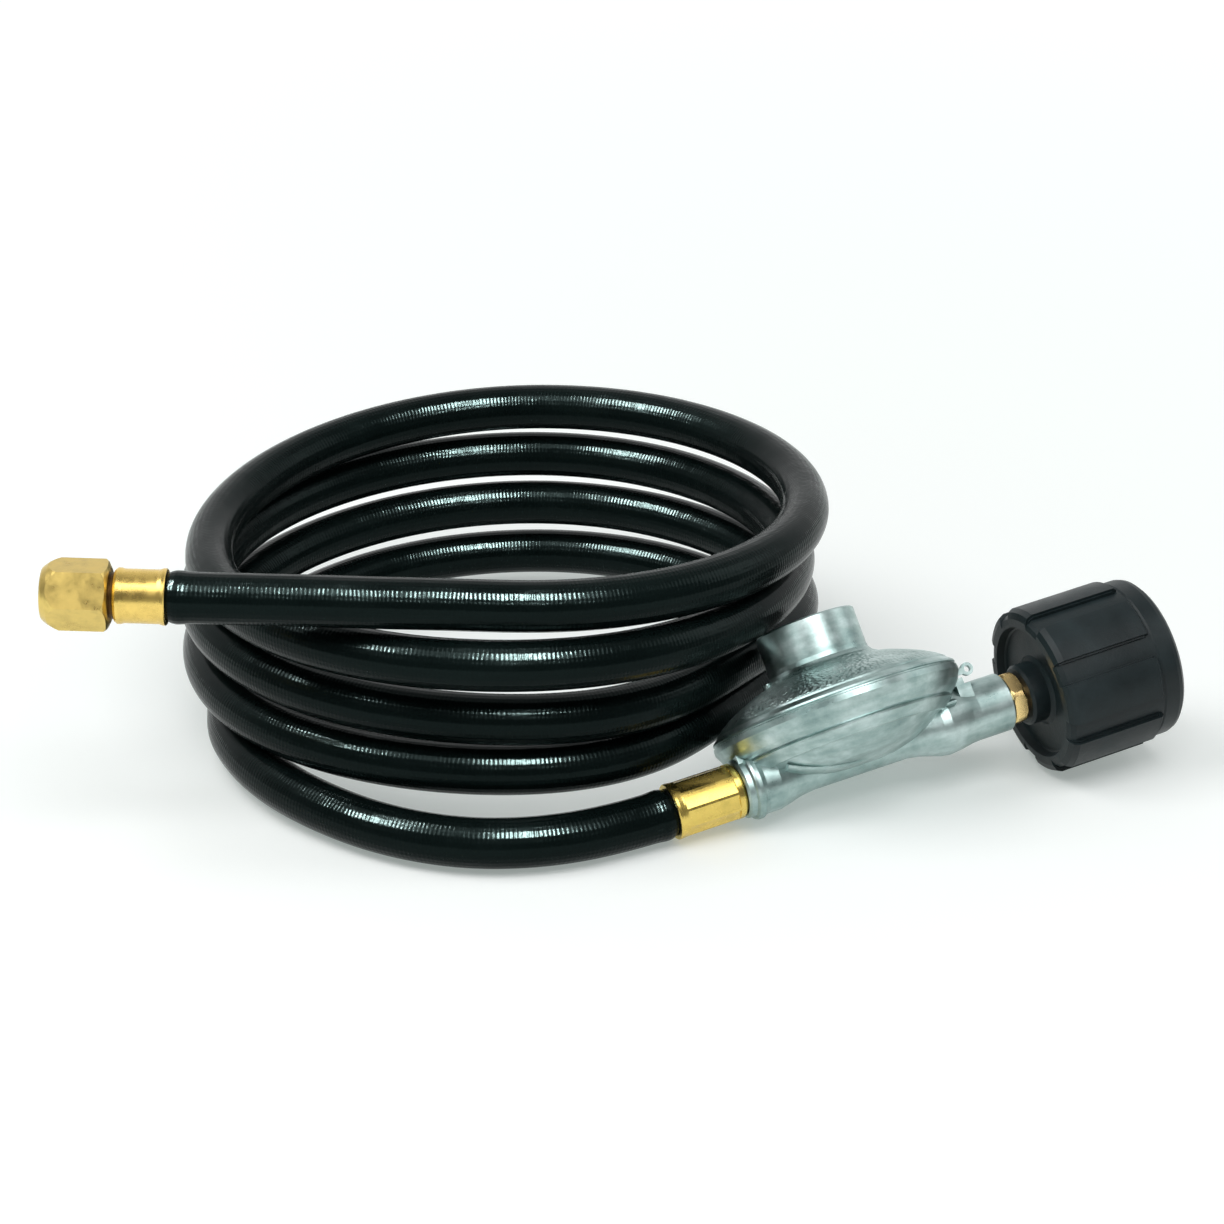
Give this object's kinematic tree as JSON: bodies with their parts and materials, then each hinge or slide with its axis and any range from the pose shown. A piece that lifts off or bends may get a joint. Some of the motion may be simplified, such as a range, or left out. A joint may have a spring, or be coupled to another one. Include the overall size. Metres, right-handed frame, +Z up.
{
  "type": "propane regulator hose",
  "caption": "Low-pressure gas regulator with a ribbed hand nut, its coiled rubber supply hose and a swivelling flare nut.",
  "frame": {"origin": "on the floor, under the middle of the regulator and its hand nut (the hose and its fitting left out)", "axes": "+X towards the hand nut, level; +Y away from the front, to the coil; +Z up"},
  "size_m": [0.3486, 0.2449, 0.0937],
  "materials": {
    "zinc": "satin",
    "steel": "satin",
    "brass": "satin",
    "ferrule_brass": "polished",
    "black_plastic": "satin",
    "hose_rubber": "gloss",
    "seal_rubber": "matte"
  },
  "bodies": {
    "regulator": {"regulator_body": "zinc", "bonnet": "zinc", "vent_screen": "steel", "closing_cap": "black_plastic", "adjusting_screw": "brass", "main_spring": "steel", "diaphragm": "seal_rubber", "lever_pin": "steel", "inlet_orifice": "brass", "inlet_filter": "brass", "inlet_nipple": "brass", "nipple_o_ring": "seal_rubber", "limiter_spring": "steel", "nose_plug": "brass", "outlet_stem": "brass", "outlet_ferrule": "ferrule_brass", "outlet_grip": "hose_rubber", "hose_outlet_run": "hose_rubber", "hose_coil": "hose_rubber", "hose_fitting_run": "hose_rubber", "fitting_grip": "hose_rubber", "fitting_ferrule": "ferrule_brass", "flare_stem": "brass"},
    "diaphragm_stack": {"diaphragm_plate": "steel", "diaphragm_post": "brass"},
    "lever": {"lever": "steel"},
    "valve_seat": {"seat_holder": "brass", "seat_disc": "seal_rubber"},
    "poppet": {"limiter_poppet": "brass"},
    "bushing": {"thermal_bushing": "black_plastic"},
    "hand_nut": {"handwheel": "black_plastic"},
    "flare_nut": {"swivel_nut": "ferrule_brass"}
  },
  "joints": [
    {"name": "nut_float", "type": "slide", "parent": "regulator", "child": "bushing", "axis": [0.9903, 0, 0.1392], "range_m": [-0.001, 0]},
    {"name": "nut_spin", "type": "hinge", "parent": "bushing", "child": "hand_nut", "pos_m": [0.04703, -0.0071, 0.02766], "axis": [0.9903, 0, 0.1392], "continuous": true},
    {"name": "swivel_spin", "type": "hinge", "parent": "regulator", "child": "flare_nut", "pos_m": [-0.24338, 0.05659, 0.08366], "axis": [-0.9238, 0.3815, 0.0333], "continuous": true},
    {"name": "diaphragm_travel", "type": "slide", "parent": "regulator", "child": "diaphragm_stack", "axis": [-0.1111, 0.6018, 0.7909], "range_m": [-0.001, 0.001], "stiffness_N_per_m": 1200, "deforming": ["main_spring", "diaphragm"]},
    {"name": "lever_swing", "type": "hinge", "parent": "regulator", "child": "lever", "pos_m": [-0.01162, -0.00915, 0.01667], "axis": [0.0838, 0.7986, -0.596], "range_deg": [-5.4, 5.4]},
    {"name": "seat_travel", "type": "slide", "parent": "regulator", "child": "valve_seat", "axis": [0.9903, 0, 0.1392], "range_m": [-0.00032, 0.00032]},
    {"name": "limiter_travel", "type": "slide", "parent": "regulator", "child": "poppet", "axis": [0.9903, 0, 0.1392], "range_m": [0, 0.0012], "stiffness_N_per_m": 60, "deforming": ["limiter_spring"]}
  ],
  "couplings": [
    {"joint": "lever_swing", "follows": "diaphragm_travel", "rad_per_m": 90.909},
    {"joint": "seat_travel", "follows": "diaphragm_travel", "ratio": 0.30909}
  ]
}
